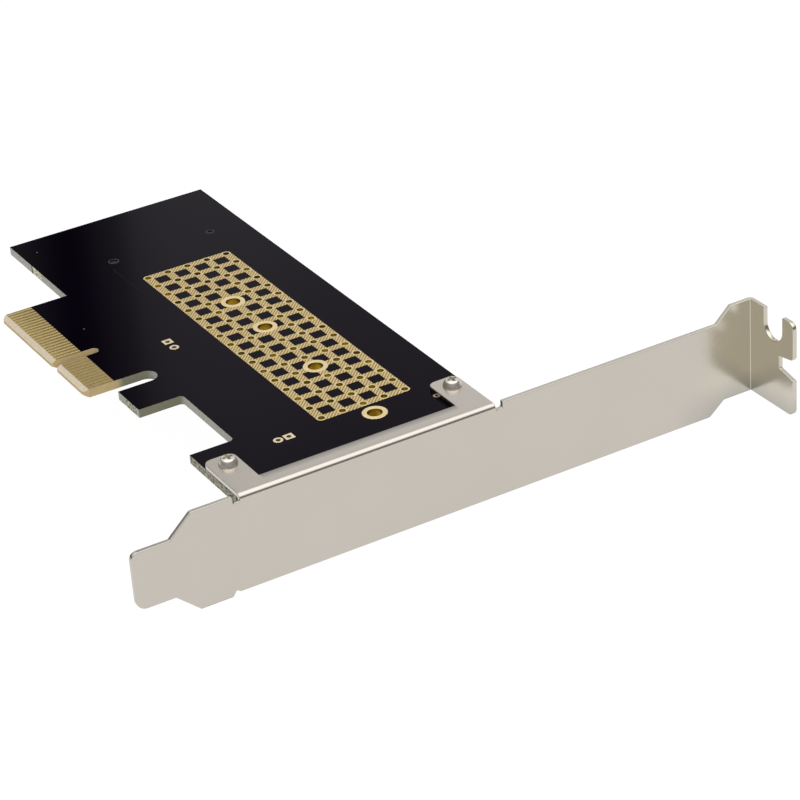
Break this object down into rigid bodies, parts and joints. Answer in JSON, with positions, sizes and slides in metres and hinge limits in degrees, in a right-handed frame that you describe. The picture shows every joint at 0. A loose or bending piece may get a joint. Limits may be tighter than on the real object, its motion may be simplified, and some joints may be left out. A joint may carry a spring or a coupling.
{
  "type": "drive module adapter card",
  "caption": "Expansion card that holds a flash drive module: bare black board with edge connector, thermal via grid and full-height slot bracket.",
  "frame": {"origin": "middle of the edge connector's key notch, at the mating edge and half way through the board's thickness", "axes": "+X from the mating edge to the board's free long edge, and along the bracket from its tongue to its screw flange; +Y from the bracket to the board's free end; +Z out of the solder side, up in an upright computer case"},
  "size_m": [0.12, 0.1189, 0.0209],
  "materials": {
    "solder_mask": "glossy near-black solder mask over glass-epoxy laminate",
    "bracket_plating": "satin nickel on sheet steel",
    "screw_plating": "bright nickel",
    "nut_plating": "nickel on steel",
    "solder_side_contact_gold": "gold over nickel and copper",
    "component_side_contact_gold": "gold over nickel and copper",
    "solder_side_grid_gold": "thin gold over textured copper",
    "component_side_grid_gold": "thin gold over textured copper",
    "standoff_ring_gold": "thin gold over nickel and copper",
    "pin_pad_gold": "thin gold over nickel and copper",
    "housing_plastic": "moulded, matte",
    "upper_terminal_gold": "gold over nickel",
    "lower_terminal_gold": "gold over nickel",
    "hold_down_tin": "matte tin",
    "bulk_capacitor_ceramic": "fired ceramic",
    "bulk_capacitor_tin": "tin",
    "small_capacitor_ceramic": "fired ceramic",
    "small_capacitor_tin": "tin",
    "resistor_coat": "glazed",
    "resistor_tin": "tin"
  },
  "bodies": {
    "root": {"circuit_board": "solder_mask", "bracket": "bracket_plating", "bracket_screws": "screw_plating", "bracket_nuts": "nut_plating", "solder_side_contacts": "solder_side_contact_gold", "component_side_contacts": "component_side_contact_gold", "solder_side_thermal_grid": "solder_side_grid_gold", "component_side_thermal_grid": "component_side_grid_gold", "standoff_hole_plating": "standoff_ring_gold", "pin_pads": "pin_pad_gold", "socket_housing": "housing_plastic", "socket_upper_terminals": "upper_terminal_gold", "socket_lower_terminals": "lower_terminal_gold", "socket_hold_downs": "hold_down_tin", "bulk_capacitor_bodies": "bulk_capacitor_ceramic", "bulk_capacitor_ends": "bulk_capacitor_tin", "small_capacitor_bodies": "small_capacitor_ceramic", "small_capacitor_ends": "small_capacitor_tin", "resistor_bodies": "resistor_coat", "resistor_ends": "resistor_tin"}
  },
  "joints": []
}
